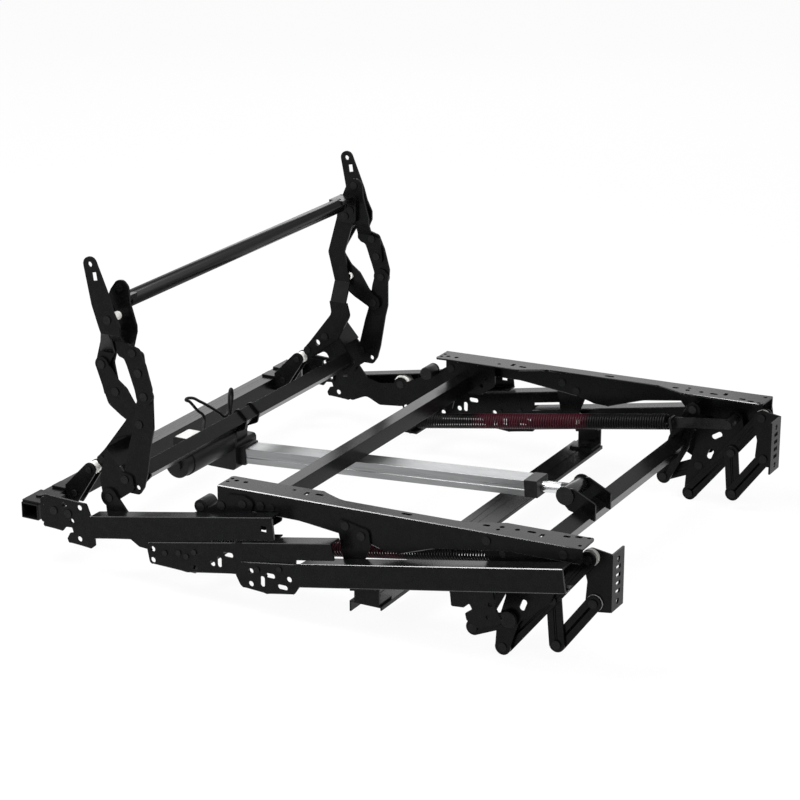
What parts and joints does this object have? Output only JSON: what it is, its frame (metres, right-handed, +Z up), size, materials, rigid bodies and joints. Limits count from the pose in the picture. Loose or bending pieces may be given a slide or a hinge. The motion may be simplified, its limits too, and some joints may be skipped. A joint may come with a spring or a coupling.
{
  "type": "recliner mechanism",
  "caption": "Motor-driven recliner mechanism: base channels, sliding seat rails, folding footrest linkages, hinged back uprights with a cross bar, linear actuator and return springs.",
  "frame": {"origin": "centre of the bounding box in plan, at the lowest point of the folded footrest linkage", "axes": "+Z up, front of the chair faces -Y, +X to the sitter's left; the middle plane is X = 0"},
  "size_m": [0.659, 0.7876, 0.4123],
  "materials": {
    "coated_steel": "near-black satin powder coat",
    "coated_link": "near-black satin coat",
    "coated_tube": "near-black satin coat on tube",
    "rivet_steel": "dark plated rivet",
    "pin_steel": "bright turned steel",
    "rod_steel": "bright drawn steel",
    "profile_aluminium": "satin extruded aluminium",
    "black_plastic": "moulded black plastic",
    "nylon": "off-white nylon",
    "spring_wire": "black coated spring wire",
    "lead_rubber": "black cable sheath"
  },
  "bodies": {
    "base": {"rear_channel_l": "coated_steel", "rear_channel_r": "coated_steel", "middle_channels": "coated_steel", "front_channel_l": "coated_steel", "front_channel_r": "coated_steel", "hook_plates": "coated_steel", "base_rivets": "rivet_steel", "rear_tube": "coated_tube", "tube_saddles": "coated_steel", "base_crossbar": "coated_tube", "crossbar_risers": "coated_steel", "spring_anchors": "coated_steel", "return_spring_l": "spring_wire", "return_spring_r": "spring_wire"},
    "seat": {"seat_rail_l": "coated_steel", "seat_rail_r": "coated_steel", "pivot_plates": "coated_link", "seat_crossbar": "coated_tube", "crossbar_brackets": "coated_steel", "carrier_arms": "coated_link", "roller_hangers": "coated_link", "seat_rivets": "rivet_steel", "pivot_pins": "pin_steel", "stop_rollers": "black_plastic", "spring_clips": "pin_steel"},
    "rear_roller": {"rear_rollers": "nylon"},
    "front_roller": {"front_rollers": "nylon"},
    "drive": {"drive_tube": "coated_tube", "crank_arms": "coated_link", "clevis_ears": "coated_link", "drive_screws": "rivet_steel", "crank_pins": "rivet_steel"},
    "lift": {"lift_plates": "coated_link", "lift_pins": "rivet_steel"},
    "short_link": {"short_links": "coated_link"},
    "long_link": {"long_links": "coated_link", "long_pins": "rivet_steel"},
    "front_link": {"front_links": "coated_link"},
    "lower_link": {"lower_links": "coated_link", "lower_pins": "rivet_steel"},
    "footrest": {"footrest_brackets": "coated_steel"},
    "actuator": {"motor": "black_plastic", "gearbox": "black_plastic", "actuator_profile": "profile_aluminium", "profile_cap": "black_plastic", "motor_lead": "lead_rubber"},
    "screw": {"spindle": "pin_steel"},
    "rod": {"push_rod": "rod_steel", "eye_pin": "pin_steel"},
    "back": {"back_bar": "coated_tube", "inner_arms": "coated_link", "lower_bar": "coated_tube", "motor_hanger": "coated_link", "gussets": "coated_link", "bar_brackets": "coated_link", "eye_plates": "coated_link", "front_arms": "coated_link", "rear_links": "coated_link", "nylon_spacers": "nylon", "back_bolts": "rivet_steel"}
  },
  "joints": [
    {"name": "seat_slide", "type": "slide", "parent": "base", "child": "seat", "axis": [0, -0.9833, 0.1822], "range_m": [0, 0.08], "deforming": ["return_spring_l", "return_spring_r"]},
    {"name": "back_recline", "type": "hinge", "parent": "seat", "child": "back", "pos_m": [0, 0.27325, 0.1008], "axis": [1, 0, 0], "range_deg": [-22, 0]},
    {"name": "rear_roller_spin", "type": "hinge", "parent": "seat", "child": "rear_roller", "pos_m": [0, 0.19025, 0.08319], "axis": [1, 0, 0], "range_deg": [0, 400]},
    {"name": "front_roller_spin", "type": "hinge", "parent": "seat", "child": "front_roller", "pos_m": [0, -0.07475, 0.07426], "axis": [1, 0, 0], "range_deg": [0, 400]},
    {"name": "drive_turn", "type": "hinge", "parent": "seat", "child": "drive", "pos_m": [0, -0.26875, 0.1308], "axis": [1, 0, 0], "range_deg": [-48.47, 0]},
    {"name": "lift_turn", "type": "hinge", "parent": "seat", "child": "lift", "pos_m": [0, -0.32475, 0.1238], "axis": [1, 0, 0], "range_deg": [-62.1, 0]},
    {"name": "short_link_turn", "type": "hinge", "parent": "drive", "child": "short_link", "pos_m": [0, -0.22975, 0.0288], "axis": [1, 0, 0], "range_deg": [0, 60]},
    {"name": "long_link_turn", "type": "hinge", "parent": "lift", "child": "long_link", "pos_m": [0, -0.26575, 0.0098], "axis": [1, 0, 0], "range_deg": [0, 85]},
    {"name": "front_link_turn", "type": "hinge", "parent": "long_link", "child": "front_link", "pos_m": [0, -0.32475, 0.0788], "axis": [1, 0, 0], "range_deg": [-108, 0]},
    {"name": "lower_link_turn", "type": "hinge", "parent": "front_link", "child": "lower_link", "pos_m": [0, -0.32975, 0.0228], "axis": [1, 0, 0], "range_deg": [0, 108]},
    {"name": "footrest_turn", "type": "hinge", "parent": "long_link", "child": "footrest", "pos_m": [0, -0.36775, 0.1373], "axis": [1, 0, 0], "range_deg": [-108, 0]},
    {"name": "actuator_tilt", "type": "hinge", "parent": "seat", "child": "actuator", "pos_m": [0, 0.27325, 0.1008], "axis": [1, 0, 0], "range_deg": [0, 3]},
    {"name": "rod_slide", "type": "slide", "parent": "actuator", "child": "rod", "axis": [0, -0.9973, 0.0739], "range_m": [0, 0.036]},
    {"name": "spindle_turn", "type": "hinge", "parent": "actuator", "child": "screw", "pos_m": [-0.01, 0.27775, 0.0674], "axis": [0, -0.9973, 0.0739], "range_deg": [0, 2100]}
  ],
  "couplings": [
    {"joint": "back_recline", "follows": "seat_slide", "rad_per_m": -4.7997},
    {"joint": "rear_roller_spin", "follows": "seat_slide", "rad_per_m": 81.64},
    {"joint": "front_roller_spin", "follows": "seat_slide", "rad_per_m": 81.64},
    {"joint": "lift_turn", "follows": "drive_turn", "ratio": 1.2793},
    {"joint": "short_link_turn", "follows": "drive_turn", "ratio": -1.2279},
    {"joint": "long_link_turn", "follows": "drive_turn", "ratio": -1.7332},
    {"joint": "front_link_turn", "follows": "drive_turn", "ratio": 2.2078},
    {"joint": "lower_link_turn", "follows": "drive_turn", "ratio": -2.2078},
    {"joint": "footrest_turn", "follows": "drive_turn", "ratio": 2.2078},
    {"joint": "actuator_tilt", "follows": "drive_turn", "ratio": -0.057504},
    {"joint": "rod_slide", "follows": "drive_turn", "m_per_rad": -0.040711},
    {"joint": "spindle_turn", "follows": "drive_turn", "ratio": -42.633}
  ]
}
